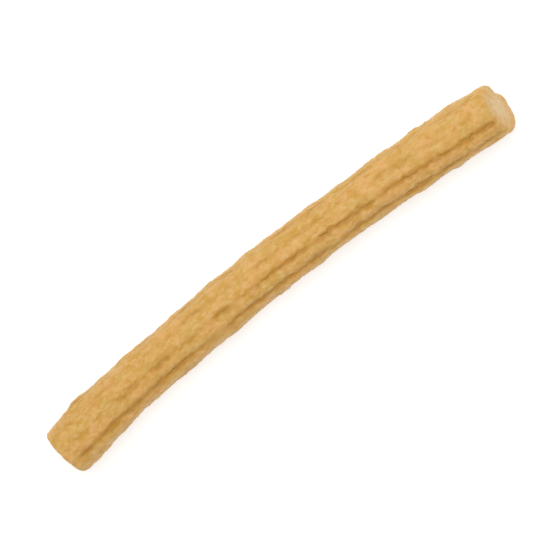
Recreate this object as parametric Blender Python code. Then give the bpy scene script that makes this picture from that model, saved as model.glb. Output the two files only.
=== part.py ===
# A straight fried dough stick (churro): one ridged, slowly twisting, gently bowed solid.
# The stick lies along X on the plane z = 0, with its bowed-out side towards +Y.
# Metres throughout, +Z up.
import math

import bmesh
import bpy
from mathutils import Matrix

MM = 0.001

# Overall sizes
LENGTH = 250 * MM
MIDDLE_RADIUS = 11.85 * MM
BOW = 6.5 * MM  # how far both ends fall back from the middle, towards -Y
LEFT_HOOK = 1.7 * MM  # how much further the -X end falls back
HOOK_REACH = 50 * MM
PRESS = 0.7 * MM  # how far the underside is flattened by its own weight

# Thicker stretches near both ends: place along, reach, extra radius
FLARES = (
    (-106 * MM, 22 * MM, 0.85 * MM),
    (103 * MM, 22 * MM, 0.60 * MM),
)

# The star nozzle's ridges
RIDGES = 10
TWIST_PER_METRE = math.radians(98)
MIDDLE_TURN = math.radians(9.7)  # turn of the ridges at the middle, from +Z towards -Y
GROOVE_DEPTH = 0.62 * MM
GROOVE_EXTRA = 0.20 * MM  # added on the -Y side and taken off on the +Y side
GROOVE_WIDTH = 0.40  # share of a ridge's pitch that the groove takes
GROOVE_SHARE = 0.8  # of the depth, made by the groove itself
CROWN_SHARE = 0.25  # of the depth, made by the rounding of the ridge towards the groove
FLOOR_GROOVE = 0.8  # share of the depth that is left in the grooves underneath

# The two cut ends; right is +X and left is -X
RIGHT_LEAN = math.radians(-20)  # the +X cut leans back, so it looks a little upwards
LEFT_LEAN = math.radians(-4)
LEFT_SKEW = math.radians(-3.5)  # the -X cut is also turned, its +Y side being the longer one
LEAN_REACH = 24 * MM  # the stretch over which the stations swing round to the cut
RIGHT_EDGE = (2.2 * MM, 1.7 * MM)  # rounding of the cut edge, along the stick and across it
LEFT_EDGE = (1.3 * MM, 0.9 * MM)
RIGHT_CURL = (2.4 * MM, 1.0 * MM)  # how much more on the +Y side of the +X end
LEFT_CURL = (2.6 * MM, 1.2 * MM)  # and on the -Y side of the -X end
STRAIGHT_END = 6 * MM  # the last stretch of each end that doesn't bend

# Uneven swelling of the dough: height, wavelength along, waves around, start angle
SWELLS = (
    (0.22 * MM, 61 * MM, 2, 0.4),
    (0.17 * MM, 34 * MM, -3, 2.1),
    (0.12 * MM, 19 * MM, 5, 4.0),
)

# Single bumps: place along, angle from +Y over the top, length, width, height
BUMPS = (
    (-105 * MM, 12, 9 * MM, 7 * MM, 0.80 * MM),
    (-90 * MM, 355, 7 * MM, 6 * MM, 0.70 * MM),
    (-76 * MM, 8, 9 * MM, 7 * MM, 0.80 * MM),
    (-22 * MM, 5, 16 * MM, 9 * MM, 0.90 * MM),
    (-2 * MM, 5, 8 * MM, 8 * MM, 0.45 * MM),
    (88 * MM, 10, 8 * MM, 7 * MM, 0.90 * MM),
    (107 * MM, 350, 14 * MM, 8 * MM, 0.55 * MM),
    (-27 * MM, 174, 14 * MM, 9 * MM, 0.90 * MM),
    (97 * MM, 186, 6 * MM, 6 * MM, 0.75 * MM),
    (-88 * MM, 172, 12 * MM, 8 * MM, -0.60 * MM),
    (11 * MM, 178, 12 * MM, 8 * MM, -0.50 * MM),
)

# Mesh fineness
POINTS_PER_RIDGE = 6
STATIONS = 62  # steps along the stick, with the edge steps
EDGE_STEPS = 3
CROWDING = 0.08  # how strongly the points gather at the grooves

SHARP_ANGLE = math.radians(50)
CRUST_COLOUR = (0.645, 0.392, 0.141, 1.0)
CRUST_ROUGHNESS = 0.68

HALF = LENGTH / 2
RIDGE_PITCH = math.tau / RIDGES


def clear_scene():
    for old in list(bpy.data.objects):
        bpy.data.objects.remove(old, do_unlink=True)


def smooth_step(value):
    value = min(max(value, 0.0), 1.0)
    return value * value * (3 - 2 * value)


def angle_gap(a, b):
    return abs((a - b + math.pi) % math.tau - math.pi)


def radius_at(s):
    # Outer radius over the ridges.
    radius = MIDDLE_RADIUS
    for place, reach, height in FLARES:
        radius += height * math.exp(-(((s - place) / reach) ** 2))
    return radius


def bow_at(s):
    # Sideways place and slope of the centre line.
    u = s / HALF
    hook = max(0.0, (HOOK_REACH - HALF - s) / HOOK_REACH)
    place = -BOW * u**2 - LEFT_HOOK * hook**3
    slope = -2 * BOW * u / HALF + 3 * LEFT_HOOK * hook**2 / HOOK_REACH
    return place, slope


def centre_line(s):
    bent = min(max(s, STRAIGHT_END - HALF), HALF - STRAIGHT_END)
    place, slope = bow_at(bent)
    return place + slope * (s - bent), math.atan(slope)


def groove_turn(s):
    # Angle from +Y over the top at which the first groove lies.
    return math.pi / 2 + MIDDLE_TURN + TWIST_PER_METRE * s


def groove_depth(angle):
    side = GROOVE_DEPTH - GROOVE_EXTRA * math.cos(angle)
    below = smooth_step(-math.sin(angle))
    return side * (1 - (1 - FLOOR_GROOVE) * below)


def ridge_drop(share, angle):
    # A groove between broad, rounded crests; share is 0 at the groove, 0.5 on the crest.
    groove = GROOVE_SHARE * math.exp(-((share / (GROOVE_WIDTH / 2)) ** 2))
    crown = CROWN_SHARE * (1 - math.sin(math.pi * share)) ** 2
    return groove_depth(angle) * (groove + crown)


def swelling(s, angle):
    lift = 0.0
    for height, wavelength, waves, start in SWELLS:
        lift += height * math.sin(math.tau * s / wavelength + waves * angle + start)
    for place, degrees, length, width, height in BUMPS:
        along = (s - place) / (length / 2)
        around = angle_gap(angle, math.radians(degrees)) * MIDDLE_RADIUS / (width / 2)
        lift += height * math.exp(-(along**2) - around**2)
    return lift


def edge_round(end, angle):
    # Size of the rounding between the side and the cut, along and across.
    run, drop = RIGHT_EDGE if end > 0 else LEFT_EDGE
    more_run, more_drop = RIGHT_CURL if end > 0 else LEFT_CURL
    curl = max(0.0, end * math.cos(angle)) ** 2
    return run + more_run * curl, drop + more_drop * curl


def side_place(station, angle):
    # Distance along the stick and loss of radius at a station, round both cut edges.
    end = -1 if station < STATIONS / 2 else 1
    steps_in = min(station, STATIONS - station)
    run, drop = edge_round(end, angle)
    if steps_in < EDGE_STEPS:
        arc = math.pi / 2 * steps_in / EDGE_STEPS
        return end * (HALF - run * (1 - math.cos(arc))), drop * (1 - math.sin(arc))
    low = -HALF + edge_round(-1, angle)[0]
    high = HALF - edge_round(1, angle)[0]
    share = (station - EDGE_STEPS) / (STATIONS - 2 * EDGE_STEPS)
    return low + share * (high - low), 0.0


def bent_place(s, across, up):
    # Carries a point of the straight stick on to the bowed one, resting on the floor.
    right = smooth_step((s - HALF + LEAN_REACH) / LEAN_REACH)
    left = smooth_step((-s - HALF + LEAN_REACH) / LEAN_REACH)
    shear = right * up * math.tan(RIGHT_LEAN)
    shear += left * (up * math.tan(-LEFT_LEAN) + across * math.tan(-LEFT_SKEW))
    centre, heading = centre_line(s + shear)
    height = radius_at(s) - PRESS + up
    x = s + shear - across * math.sin(heading)
    y = centre + across * math.cos(heading)
    return x, y, max(height, 0.0)


def skin_place(station, point):
    # A point of the skin: station counts along the stick, point counts round it.
    # The edge rounding depends on the angle, and the angle on the twist at s, so s is found twice.
    ridge, step = divmod(point, POINTS_PER_RIDGE)
    share = step / POINTS_PER_RIDGE
    share -= CROWDING * math.sin(math.tau * share)
    straight_angle = (ridge + share) * RIDGE_PITCH
    s = side_place(station, groove_turn(0) + straight_angle)[0]
    angle = groove_turn(s) + straight_angle
    s, drop = side_place(station, angle)
    radius = radius_at(s) + swelling(s, angle) - ridge_drop(min(share, 1 - share), angle) - drop
    return bent_place(s, radius * math.cos(angle), radius * math.sin(angle))


def straight_bar():
    # A closed bar of unit radius from x = -1 to x = 1, cut into stations.
    around = RIDGES * POINTS_PER_RIDGE
    bm = bmesh.new()
    turn = Matrix.Rotation(math.pi / 2, 4, "Y")
    bmesh.ops.create_cone(
        bm, cap_ends=True, segments=around, radius1=1, radius2=1, depth=2, matrix=turn
    )
    lengthwise = [e for e in bm.edges if abs(e.verts[0].co.x - e.verts[1].co.x) > 1]
    bmesh.ops.subdivide_edges(bm, edges=lengthwise, cuts=STATIONS - 1, use_grid_fill=True)
    caps = [f for f in bm.faces if len(f.verts) > 4]
    bmesh.ops.poke(bm, faces=caps)
    return bm


def shape_stick(bm):
    around = RIDGES * POINTS_PER_RIDGE
    for vert in bm.verts:
        station = round((vert.co.x + 1) / 2 * STATIONS)
        if math.hypot(vert.co.y, vert.co.z) < 0.5:
            vert.co = bent_place(math.copysign(HALF, vert.co.x), 0.0, 0.0)
            continue
        turn = math.atan2(vert.co.z, vert.co.y) % math.tau
        point = round(turn / math.tau * around) % around
        vert.co = skin_place(station, point)


def centre_on_footprint(bm):
    # The origin is on the floor, under the middle of the outer box.
    xs = [v.co.x for v in bm.verts]
    ys = [v.co.y for v in bm.verts]
    middle = ((min(xs) + max(xs)) / 2, (min(ys) + max(ys)) / 2, 0.0)
    bmesh.ops.translate(bm, verts=bm.verts, vec=[-c for c in middle])


def crust_material():
    material = bpy.data.materials.new("fried_crust")
    material.use_nodes = True
    shader = material.node_tree.nodes["Principled BSDF"]
    shader.inputs["Base Color"].default_value = CRUST_COLOUR
    shader.inputs["Roughness"].default_value = CRUST_ROUGHNESS
    shader.inputs["Metallic"].default_value = 0.0
    return material


def make_churro(collection):
    bm = straight_bar()
    shape_stick(bm)
    centre_on_footprint(bm)
    bmesh.ops.recalc_face_normals(bm, faces=bm.faces)
    mesh = bpy.data.meshes.new("churro")
    bm.to_mesh(mesh)
    bm.free()
    mesh.shade_smooth()
    mesh.set_sharp_from_angle(angle=SHARP_ANGLE)
    mesh.materials.append(crust_material())
    churro = bpy.data.objects.new("churro", mesh)
    collection.objects.link(churro)
    return churro


def main():
    clear_scene()
    collection = bpy.data.collections.new("Churro")
    bpy.context.scene.collection.children.link(collection)
    make_churro(collection)


main()
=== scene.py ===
import math

import bmesh
import bpy
from mathutils import Matrix, Vector, noise


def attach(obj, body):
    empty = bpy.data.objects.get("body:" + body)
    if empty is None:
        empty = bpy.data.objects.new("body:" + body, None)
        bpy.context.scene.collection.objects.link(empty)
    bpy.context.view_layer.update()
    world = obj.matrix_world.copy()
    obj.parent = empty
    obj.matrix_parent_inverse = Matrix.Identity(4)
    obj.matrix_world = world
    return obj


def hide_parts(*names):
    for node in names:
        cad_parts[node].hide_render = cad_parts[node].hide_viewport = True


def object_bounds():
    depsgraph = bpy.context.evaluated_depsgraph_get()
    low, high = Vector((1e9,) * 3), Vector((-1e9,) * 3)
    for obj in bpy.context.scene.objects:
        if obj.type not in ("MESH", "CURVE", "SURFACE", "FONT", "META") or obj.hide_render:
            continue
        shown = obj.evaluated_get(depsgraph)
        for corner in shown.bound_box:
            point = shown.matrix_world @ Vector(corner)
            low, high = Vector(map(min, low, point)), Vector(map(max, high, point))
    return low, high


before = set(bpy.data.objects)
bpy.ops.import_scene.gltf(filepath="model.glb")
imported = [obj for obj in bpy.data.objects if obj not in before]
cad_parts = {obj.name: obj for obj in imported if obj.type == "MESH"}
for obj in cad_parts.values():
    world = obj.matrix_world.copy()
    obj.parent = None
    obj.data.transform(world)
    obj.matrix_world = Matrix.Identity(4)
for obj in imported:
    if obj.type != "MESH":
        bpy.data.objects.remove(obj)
cadLow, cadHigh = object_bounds()
print("frame loaded")

mm = 0.001
full = math.tau

# The stick of dough, in mm and degrees. Places along it count from the middle.
stick = {
    "length": 249.6,
    "radius": 11.84,
    "bow": 6.5,  # how far both ends fall back from the middle
    "hook": 1.7,  # how much further the left end falls back
    "hookReach": 50.0,
    "straightEnd": 6.0,
    "press": 0.7,  # flattening under its own weight
    "thickStretches": ((-106, 22, 0.85), (103, 22, 0.60)),  # place, reach, height
    "swells": ((0.22, 61, 2, 0.4), (0.17, 34, -3, 2.1), (0.12, 19, 5, 4.0)),
    "bumps": (  # place, degrees round from +Y over the top, length, width, height
        (-105, 12, 9, 7, 0.80),
        (-90, 355, 7, 6, 0.70),
        (-76, 8, 9, 7, 0.80),
        (-22, 5, 16, 9, 0.90),
        (-2, 5, 8, 8, 0.45),
        (88, 10, 8, 7, 0.90),
        (107, 350, 14, 8, 0.55),
        (-27, 174, 14, 9, 0.90),
        (97, 186, 6, 6, 0.75),
        (-88, 172, 12, 8, -0.60),
        (11, 178, 12, 8, -0.50),
    ),
    "stations": 490,
    "edgeSteps": 10,
    "capRings": 18,
}

# The ridges that the star nozzle leaves
ridges = {
    "count": 10,
    "steps": 18,  # points across one ridge
    "crowding": 0.05,  # gathers the points at the grooves
    "twist": 98.0,  # degrees in a metre
    "turn": 9.7,  # at the middle, from straight up towards -Y
    "shallow": 0.26,  # depth on the top and the +Y side
    "deep": 0.60,  # and low on the -Y side
    "deepening": (85.0, 112.0),  # degrees round from +Y over the top
    "fading": (140.0, 160.0),  # and shallow again towards the -Y limb
    "below": 0.50,  # all round the lower half
    "fade": (14.0, 4.0),  # the grooves run out this close to the left and right cuts
    "grooveWidth": 0.52,  # share of the pitch
    "widthJag": 0.28,  # how much the width changes, torn at "jagLength"
    "depthJag": 0.42,  # and the depth, over "breakLength"
    "crack": 0.40,  # depth of the broken crack at the bottom, in mm
    "crackWidth": 0.075,
    "wander": 0.05,
    "jag": 0.05,
    "jagLength": 2.6,
    "breakLength": 11.0,
}

# The two cut ends
cuts = {
    "rightEdge": (2.2, 1.7),  # rounding of the edge, along the stick and across it
    "leftEdge": (1.3, 0.9),
    "rightCurl": (2.4, 1.0),  # and how much more on the side that the end bends to
    "leftCurl": (2.6, 1.2),
    "rightLean": -20.0,
    "leftLean": -4.0,
    "leftSkew": -3.5,
    "leanReach": 24.0,
    "hollow": 0.1,  # how far the crumb sinks in
    "ragged": 0.2,  # unevenness of the cut edge
    "chips": ((1, 311, 14, 1.3), (1, 30, 14, 0.5), (-1, 205, 12, 0.5)),  # end, degrees, width, depth
}

pitch = full / ridges["count"]
half = stick["length"] / 2


def smoothStep(value):
    value = min(max(value, 0.0), 1.0)
    return value * value * (3 - 2 * value)


def radiusAt(s):
    radius = stick["radius"]
    for place, reach, height in stick["thickStretches"]:
        radius += height * math.exp(-(((s - place) / reach) ** 2))
    return radius


def centreLine(s):
    bent = min(max(s, stick["straightEnd"] - half), half - stick["straightEnd"])
    share = bent / half
    hook = max(0.0, (stick["hookReach"] - half - bent) / stick["hookReach"])
    place = -stick["bow"] * share**2 - stick["hook"] * hook**3
    slope = -2 * stick["bow"] * share / half + 3 * stick["hook"] * hook**2 / stick["hookReach"]
    return place + slope * (s - bent), math.atan(slope)


def grooveTurn(s):
    return math.pi / 2 + math.radians(ridges["turn"] + ridges["twist"] * s * mm)


def grooveDepth(s, angle):
    degrees = math.degrees(angle) % 360
    start, stop = ridges["deepening"]
    side = smoothStep((degrees - start) / (stop - start))
    start, stop = ridges["fading"]
    side *= 1 - smoothStep((degrees - start) / (stop - start))
    depth = ridges["shallow"] + (ridges["deep"] - ridges["shallow"]) * side
    lower = smoothStep(-2 * math.sin(angle))
    depth += (ridges["below"] - depth) * lower
    fade = ridges["fade"][s > 0]
    return depth * (0.35 + 0.65 * smoothStep((half - abs(s)) / fade))


def swelling(s, angle):
    lift = 0.0
    for height, length, waves, start in stick["swells"]:
        lift += height * math.sin(full * s / length + waves * angle + start)
    for place, degrees, length, width, height in stick["bumps"]:
        along = (s - place) / (length / 2)
        if abs(along) < 3:
            gap = abs((angle - math.radians(degrees) + math.pi) % full - math.pi)
            lift += height * math.exp(-(along**2) - (gap * stick["radius"] / (width / 2)) ** 2)
    return lift


def edgeRound(end, angle):
    name = "right" if end > 0 else "left"
    curl = max(0.0, end * math.cos(angle)) ** 2
    return [size + curl * more for size, more in zip(cuts[name + "Edge"], cuts[name + "Curl"])]


def sidePlace(station, angle):
    # distance along the stick and loss of radius, round both cut edges
    last = stick["stations"]
    end = -1 if station < last / 2 else 1
    stepsIn = min(station, last - station)
    run, drop = edgeRound(end, angle)
    if stepsIn < stick["edgeSteps"]:
        arc = math.pi / 2 * stepsIn / stick["edgeSteps"]
        return end * (half - run * (1 - math.cos(arc))), drop * (1 - math.sin(arc))
    low = edgeRound(-1, angle)[0] - half
    high = half - edgeRound(1, angle)[0]
    share = (station - stick["edgeSteps"]) / (last - 2 * stick["edgeSteps"])
    return low + share * (high - low), 0.0


def raggedEdge(end, angle):
    # how far the cut edge stands out or falls short at that place
    ring = Vector((math.cos(angle), math.sin(angle), end))
    out = cuts["ragged"] * (noise.noise(ring * 2.1) + 0.6 * noise.noise(ring * 5.3)) * 2
    for side, degrees, width, depth in cuts["chips"]:
        if side == end:
            gap = (angle - math.radians(degrees) + math.pi) % full - math.pi
            out -= depth * math.exp(-((gap / math.radians(width)) ** 2))
    return out


def bentPlace(s, across, up):
    # from the straight stick to the bowed one, lying on the floor
    reach = cuts["leanReach"]
    right = smoothStep((s - half + reach) / reach)
    left = smoothStep((-s - half + reach) / reach)
    shear = right * up * math.tan(math.radians(cuts["rightLean"]))
    shear -= left * up * math.tan(math.radians(cuts["leftLean"]))
    shear -= left * across * math.tan(math.radians(cuts["leftSkew"]))
    centre, heading = centreLine(s + shear)
    height = radiusAt(s) - stick["press"] + up
    x = s + shear - across * math.sin(heading)
    y = centre + across * math.cos(heading)
    return Vector((x, y, max(height, 0.0)))


# The rough skin that tearing, bubbling and frying leave on the dough: heights and sizes in mm
skin = {
    "stretch": 1.6,  # the texture is drawn out along the stick
    "swirl": (1.2, 6.0),
    "clumps": (0.22, 3.0),
    "crumbs": (0.16, 1.2),
    "tears": (0.24, 2.1, 0.10),  # depth, size, width as a share of the size
    "blisters": (0.20, 2.4, 0.40),  # height, size, share of the places that have one
    "pits": (0.26, 2.0, 0.16),
    "crest": (0.14, 13.0),
}


def flowPlace(s, turn, radius):
    # place on the untwisted, unbent stick, so that patterns follow the dough
    return Vector((s, radius * math.cos(turn), radius * math.sin(turn)))


def drawnOut(flow, size):
    return Vector((flow.x / skin["stretch"], flow.y, flow.z)) / size


def dome(flow, size, shareKept):
    # round spots scattered at about that size; only some of the places carry one
    distances, centres = noise.voronoi(flow / size)
    chance = noise.cell(centres[0] * 17.3) * 0.5 + 0.5
    if chance > shareKept:
        return 0.0
    spread = 0.24 + 0.3 * (1 - chance / shareKept)
    return max(0.0, 1 - (distances[0] / spread) ** 2)


def skinRelief(flow):
    strength, size = skin["swirl"]
    flow = flow + strength * noise.noise_vector(flow / size)
    height, size = skin["clumps"]
    relief = height * noise.fractal(drawnOut(flow, size), 0.9, 2.1, 3)
    height, size = skin["crumbs"]
    relief += height * 2 * noise.noise(drawnOut(flow, size) + Vector((9, 0, 0)))
    depth, size, width = skin["tears"]
    line = abs(noise.noise(drawnOut(flow, size) + Vector((0, 5, 0)))) / width
    torn = smoothStep(noise.noise(flow / 7.0) * 2 + 0.6)
    relief -= depth * max(0.0, 1 - line) * torn
    height, size, share = skin["blisters"]
    relief += height * dome(flow, size, share)
    depth, size, share = skin["pits"]
    relief -= depth * dome(flow + Vector((31, 7, 3)), size, share)
    return relief


def grooveLine(line, s):
    # sideways wander of one groove, as a share of the pitch
    line = line % ridges["count"] * 5.3
    slow = noise.noise(Vector((s / 14, line, 1.7)))
    quick = noise.noise(Vector((s / ridges["jagLength"], line, 8.1)))
    return (ridges["wander"] * slow + ridges["jag"] * quick) * 2


def skinPoint(station, point):
    ridge, step = divmod(point, ridges["steps"])
    share = step / ridges["steps"]
    share -= ridges["crowding"] * math.sin(full * share)
    turn = (ridge + share) * pitch
    s, drop = sidePlace(station, grooveTurn(0) + turn)
    s, drop = sidePlace(station, grooveTurn(s) + turn)
    end = math.copysign(1, s)
    s += end * raggedEdge(end, grooveTurn(s) + turn) * smoothStep((abs(s) - half + 7) / 7)
    moved = grooveLine(ridge, s) * (1 - share) ** 2 + grooveLine(ridge + 1, s) * share**2
    angle = grooveTurn(s) + turn + moved * pitch
    near = min(share, 1 - share)
    side = (ridge if share < 0.5 else ridge + 1) % ridges["count"] * 3.7
    broken = noise.noise(Vector((s / ridges["breakLength"], side, 4.4)))
    torn = noise.noise(Vector((s / ridges["jagLength"], ridge * 2.9, 6.6 + (share < 0.5))))
    width = ridges["grooveWidth"] * (1 + ridges["widthJag"] * torn * 2)
    groove = math.exp(-((near / (width / 2)) ** 2))
    opened = smoothStep(noise.noise(Vector((s / 4.0, side, 9.2))) * 4 + 0.3)
    crack = math.exp(-((near / (ridges["crackWidth"] / 2)) ** 2)) * opened
    crown = 0.25 * (1 - math.sin(math.pi * share)) ** 2
    height, size = skin["crest"]
    crest = (1 - groove) * height * noise.noise(Vector((s / size, ridge * 7.7, 2.2))) * 2
    base = radiusAt(s)
    flow = flowPlace(s, turn, base)
    relief = skinRelief(flow)
    depth = grooveDepth(s, angle) * (1 + ridges["depthJag"] * broken * 2)
    radius = base + swelling(s, angle) + crest + relief - drop
    radius -= depth * (0.8 * groove + crown) + ridges["crack"] * crack * depth**2
    bar = (s, radius * math.cos(angle), radius * math.sin(angle))
    # how much of the material's painted groove and crack shade this place gets: more where the
    # groove is deeper
    shown = min(1.0, depth / ridges["deep"])
    return bar, flow, groove * shown, crack * smoothStep(shown * 2 - 0.9), relief


def straightBar():
    # unit bar from x = -1 to x = 1, with its side cut into stations and its ends into rings
    bm = bmesh.new()
    around = ridges["count"] * ridges["steps"]
    turn = Matrix.Rotation(math.pi / 2, 4, "Y")
    bmesh.ops.create_cone(
        bm, cap_ends=True, segments=around, radius1=1, radius2=1, depth=2, matrix=turn
    )
    lengthwise = [e for e in bm.edges if abs(e.verts[0].co.x - e.verts[1].co.x) > 1]
    bmesh.ops.subdivide_edges(bm, edges=lengthwise, cuts=stick["stations"] - 1, use_grid_fill=True)
    caps = [f for f in bm.faces if len(f.verts) > 4]
    for cap in caps:
        for ring in range(stick["capRings"] - 1):
            bmesh.ops.inset_region(bm, faces=[cap], thickness=1 / stick["capRings"])
    bmesh.ops.poke(bm, faces=caps)
    return bm


def crumbRelief(flow, share):
    # the cut face: a shallow hollow with air holes
    hollow = -cuts["hollow"] * smoothStep((1 - share) * 1.6)
    rough = 0.24 * noise.noise(flow / 2.4) + 0.16 * noise.noise(flow / 1.0)
    holes = 0.4 * dome(flow, 2.4, 0.5) + 0.25 * dome(flow + Vector((5, 9, 2)), 1.4, 0.5)
    inside = smoothStep((0.95 - share) / 0.3)
    return hollow + rough - holes * inside


def shapeStick(bm):
    around = ridges["count"] * ridges["steps"]
    flowLayer = bm.verts.layers.float_vector.new("flow")
    # groove, crack and proud also place the material's painted shade and painted light
    grooveLayer = bm.verts.layers.float.new("groove")
    crackLayer = bm.verts.layers.float.new("crack")
    proudLayer = bm.verts.layers.float.new("proud")
    cutLayer = bm.verts.layers.float.new("cut")
    for vert in bm.verts:
        reach = math.hypot(vert.co.y, vert.co.z)
        station = round((vert.co.x + 1) / 2 * stick["stations"])
        turn = math.atan2(vert.co.z, vert.co.y) % full
        point = round(turn / full * around) % around
        if reach > 0.999:
            bar, flow, groove, crack, proud = skinPoint(station, point)
            vert.co = bentPlace(*bar)
            vert[flowLayer] = flow
            vert[grooveLayer] = groove
            vert[crackLayer] = crack
            vert[proudLayer] = proud
            continue
        end = math.copysign(1, vert.co.x)
        share = round(reach * stick["capRings"]) / stick["capRings"]
        bar, flow, groove, crack, proud = skinPoint(station, point)
        s = end * half + (bar[0] - end * half) * share**4  # only the edge is ragged
        place = bentPlace(s, bar[1] * share, bar[2] * share)
        flow = Vector((end * half, flow.y * share, flow.z * share))
        relief = crumbRelief(flow, share)
        heading = centreLine(end * half)[1]
        vert.co = place + relief * end * Vector((math.cos(heading), math.sin(heading), 0))
        vert[flowLayer] = flow
        vert[grooveLayer] = groove * share**6
        vert[proudLayer] = relief
        vert[cutLayer] = 1 - share


def makeChurro():
    bm = straightBar()
    shapeStick(bm)
    bmesh.ops.scale(bm, verts=bm.verts, vec=(mm, mm, mm))
    low = [min(v.co[axis] for v in bm.verts) for axis in range(3)]
    high = [max(v.co[axis] for v in bm.verts) for axis in range(3)]
    middle = (cadLow + cadHigh) / 2
    shift = [middle[axis] - (low[axis] + high[axis]) / 2 for axis in range(2)]
    bmesh.ops.translate(bm, verts=bm.verts, vec=(shift[0], shift[1], 0))
    bmesh.ops.recalc_face_normals(bm, faces=bm.faces)
    mesh = bpy.data.meshes.new("friedStick")
    bm.to_mesh(mesh)
    bm.free()
    mesh.shade_smooth()
    churro = bpy.data.objects.new("friedStick", mesh)
    bpy.context.scene.collection.objects.link(churro)
    print("stick shaped:", len(mesh.polygons), "faces")
    return churro


def hexColour(code):
    def linear(value):
        return value / 12.92 if value <= 0.04045 else ((value + 0.055) / 1.055) ** 2.4

    parts = [int(code[at : at + 2], 16) / 255 for at in (1, 3, 5)]
    return (*[linear(part) for part in parts], 1.0)


def addNode(tree, kind, inputs, **settings):
    made = tree.nodes.new(kind)
    for name, value in settings.items():
        setattr(made, name, value)
    for name, value in inputs.items():
        if isinstance(value, bpy.types.NodeSocket):
            tree.links.new(value, made.inputs[name])
        else:
            made.inputs[name].default_value = value
    return made


# Wheat dough, extruded and deep fried: starch browned unevenly by the oil, matt where it has
# drained. The groove and crack colours are painted shade, and pale and amber also paint light and
# shade on the relief
crust = {
    "golden": "#D5A558",
    "olive": "#CAA555",
    "peach": "#DEA666",
    # pale and amber: random patches of the crust's own tone, and also painted light on raised spots
    # and painted shade in pits
    "pale": "#DCB472",
    "amber": "#C79337",
    # groove and crack: painted shade in the grooves and in the cracks along their bottoms; groove is
    # also the colour of the dark specks
    "groove": "#B27C20",
    "crack": "#94641A",
    "scorch": "#CA8138",
    "crumb": "#DBBA86",
    "fuzz": "#FFF3E0",
    "ior": 1.45,
    "patches": {  # size in mm and how far they are drawn out along the stick
        "broad": (9.0, 1.5),
        "middling": (5.0, 1.4),
        "small": (3.0, 1.8),
        "streaks": (1.5, 2.2),
        "torn": (3.0, 2.4),
        "spots": (2.1, 1.8),
        "specks": (0.8, 1.0),
    },
}


def friedDough():
    material = bpy.data.materials.new("friedDough")
    material.use_nodes = True
    tree = material.node_tree
    tree.nodes.clear()
    flow = addNode(tree, "ShaderNodeAttribute", {}, attribute_name="flow").outputs["Vector"]
    groove = addNode(tree, "ShaderNodeAttribute", {}, attribute_name="groove").outputs["Fac"]
    crack = addNode(tree, "ShaderNodeAttribute", {}, attribute_name="crack").outputs["Fac"]
    proud = addNode(tree, "ShaderNodeAttribute", {}, attribute_name="proud").outputs["Fac"]
    cut = addNode(tree, "ShaderNodeAttribute", {}, attribute_name="cut").outputs["Fac"]

    patches = {}
    for name, (size, drawn) in crust["patches"].items():
        place = addNode(
            tree,
            "ShaderNodeVectorMath",
            {0: flow, 1: (1 / (size * drawn), 1 / size, 1 / size), 2: (40 * len(patches), 0, 0)},
            operation="MULTIPLY_ADD",
        ).outputs[0]
        patches[name] = addNode(
            tree, "ShaderNodeTexNoise", {"Vector": place, "Scale": 1.0, "Detail": 3.0}
        ).outputs["Fac"]
    # painted shade for the grooves, broken up by the torn patches
    tornGrooveShade = addNode(
        tree, "ShaderNodeMath", {0: groove, 1: patches["torn"]}, operation="MULTIPLY"
    ).outputs[0]

    # what shows, where it starts and where it is full, its colour and its strength
    layers = (
        (patches["broad"], 0.36, 0.66, "olive", 0.80),
        (patches["middling"], 0.42, 0.70, "peach", 0.75),
        (patches["small"], 0.40, 0.70, "amber", 0.90),
        (patches["streaks"], 0.44, 0.74, "pale", 0.75),
        # raised skin painted paler as painted light, and pits painted darker: painted shade, partly
        # also the oil the pits hold
        (proud, 0.0, 0.4, "pale", 0.40),
        (proud, 0.0, -0.35, "amber", 0.45),
        # painted shade along the grooves, stronger where they are deeper, and darker still in the
        # cracks at their bottoms
        (tornGrooveShade, 0.05, 0.50, "groove", 0.80),
        (crack, 0.15, 0.8, "crack", 0.65),
        (patches["spots"], 0.64, 0.76, "scorch", 0.60),
        (patches["specks"], 0.62, 0.76, "groove", 0.60),
        (cut, 0.0, 0.75, "crumb", 0.92),
    )
    colour = addNode(tree, "ShaderNodeRGB", {}).outputs[0]
    colour.default_value = hexColour(crust["golden"])
    for value, low, high, name, strength in layers:
        mask = addNode(
            tree,
            "ShaderNodeMapRange",
            {"Value": value, "From Min": low, "From Max": high, "To Max": strength},
            interpolation_type="SMOOTHSTEP",
        ).outputs["Result"]
        colour = addNode(
            tree,
            "ShaderNodeMix",
            {0: mask, 6: colour, 7: hexColour(crust[name])},
            data_type="RGBA",
        ).outputs[2]
    fine = addNode(
        tree, "ShaderNodeTexNoise", {"Vector": flow, "Scale": 1 / 0.8, "Detail": 5.0}
    ).outputs["Fac"]
    bump = addNode(
        tree, "ShaderNodeBump", {"Height": fine, "Strength": 0.5, "Distance": 0.22 * mm}
    ).outputs["Normal"]
    roughness = addNode(
        tree,
        "ShaderNodeMapRange",
        {"Value": fine, "From Min": 0.3, "From Max": 0.7, "To Min": 0.58, "To Max": 0.76},
    ).outputs["Result"]
    shader = addNode(
        tree,
        "ShaderNodeBsdfPrincipled",
        {
            "Base Color": colour,
            "Roughness": roughness,
            "IOR": crust["ior"],
            "Normal": bump,
            "Subsurface Weight": 0.15,
            "Subsurface Radius": (1.0, 0.5, 0.25),
            "Subsurface Scale": 1.2 * mm,
            "Sheen Weight": 0.6,
            "Sheen Tint": hexColour(crust["fuzz"]),
            "Sheen Roughness": 0.35,
        },
    )
    addNode(tree, "ShaderNodeOutputMaterial", {"Surface": shader.outputs[0]})
    return material


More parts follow.
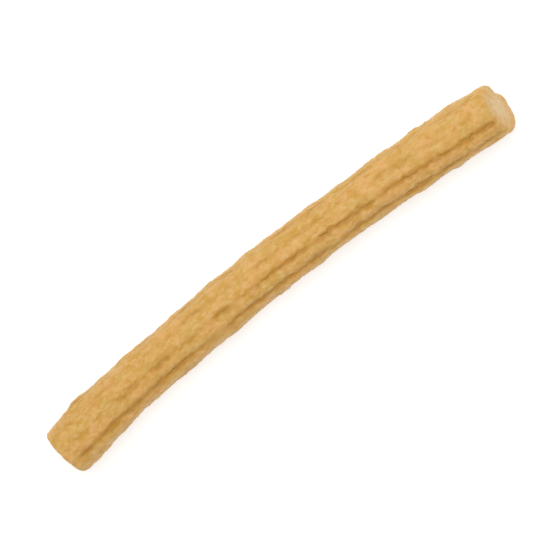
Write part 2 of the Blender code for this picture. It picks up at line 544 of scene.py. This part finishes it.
# Plain studio: pale floor, one large soft key, soft fill from all round
studio = {
    "floor": "#B8B7B5",
    "glow": "#F6F6F6",
    "floorSize": 8.0,
    "key": (0.2, 0.32, 1.1),
    "keySize": 1.0,
    "keyPower": 8.2,
    "sky": "#FFFFFF",
    "skyStrength": 0.58,
    "floorGlow": 0.68,  # the table is lit a little from below
    "lens": 150.0,
    "tilt": 8.5,  # the camera leans this far towards the +X end
    "roll": 38.3,  # and the stick climbs to the right by this much
    "frameWidth": 0.249,  # metres seen across the picture
    "aim": (0.0003, -0.00278, 0.012),
}


def makeStudio():
    bm = bmesh.new()
    bmesh.ops.create_grid(bm, x_segments=8, y_segments=8, size=studio["floorSize"] / 2)
    mesh = bpy.data.meshes.new("studioFloor")
    bm.to_mesh(mesh)
    bm.free()
    floor = bpy.data.objects.new("studioFloor", mesh)
    bpy.context.scene.collection.objects.link(floor)
    material = bpy.data.materials.new("mattPaperSweep")
    material.use_nodes = True
    shader = material.node_tree.nodes["Principled BSDF"]
    shader.inputs["Base Color"].default_value = hexColour(studio["floor"])
    shader.inputs["Roughness"].default_value = 0.9
    shader.inputs["Emission Color"].default_value = hexColour(studio["glow"])
    shader.inputs["Emission Strength"].default_value = studio["floorGlow"]
    mesh.materials.append(material)

    world = bpy.data.worlds.new("softRoom")
    bpy.context.scene.world = world
    world.use_nodes = True
    sky = world.node_tree.nodes["Background"]
    sky.inputs["Color"].default_value = hexColour(studio["sky"])
    sky.inputs["Strength"].default_value = studio["skyStrength"]

    lamp = bpy.data.lights.new("key", "AREA")
    lamp.shape = "DISK"
    lamp.size = studio["keySize"]
    lamp.energy = studio["keyPower"]
    key = bpy.data.objects.new("key", lamp)
    bpy.context.scene.collection.objects.link(key)
    key.location = studio["key"]
    key.rotation_mode = "QUATERNION"
    key.rotation_quaternion = key.location.to_track_quat("Z", "Y")


def makeCamera():
    tilt = math.radians(studio["tilt"])
    roll = math.radians(studio["roll"])
    along = Vector((math.cos(tilt), 0, -math.sin(tilt)))
    across = Vector((0, 1, 0))
    back = Vector((math.sin(tilt), 0, math.cos(tilt)))
    right = along * math.cos(roll) - across * math.sin(roll)
    up = along * math.sin(roll) + across * math.cos(roll)
    lens = bpy.data.cameras.new("camera")
    lens.lens = studio["lens"]
    camera = bpy.data.objects.new("camera", lens)
    bpy.context.scene.collection.objects.link(camera)
    distance = studio["frameWidth"] * lens.lens / lens.sensor_width
    turned = Matrix((right, up, back)).transposed().to_4x4()
    camera.matrix_world = Matrix.Translation(Vector(studio["aim"]) + back * distance) @ turned
    bpy.context.scene.camera = camera
    bpy.context.scene.view_settings.view_transform = "Standard"


churro = makeChurro()
churro.data.materials.append(friedDough())
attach(churro, "root")
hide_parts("churro")
print("dough fried")

makeStudio()
makeCamera()
print("studio lit")
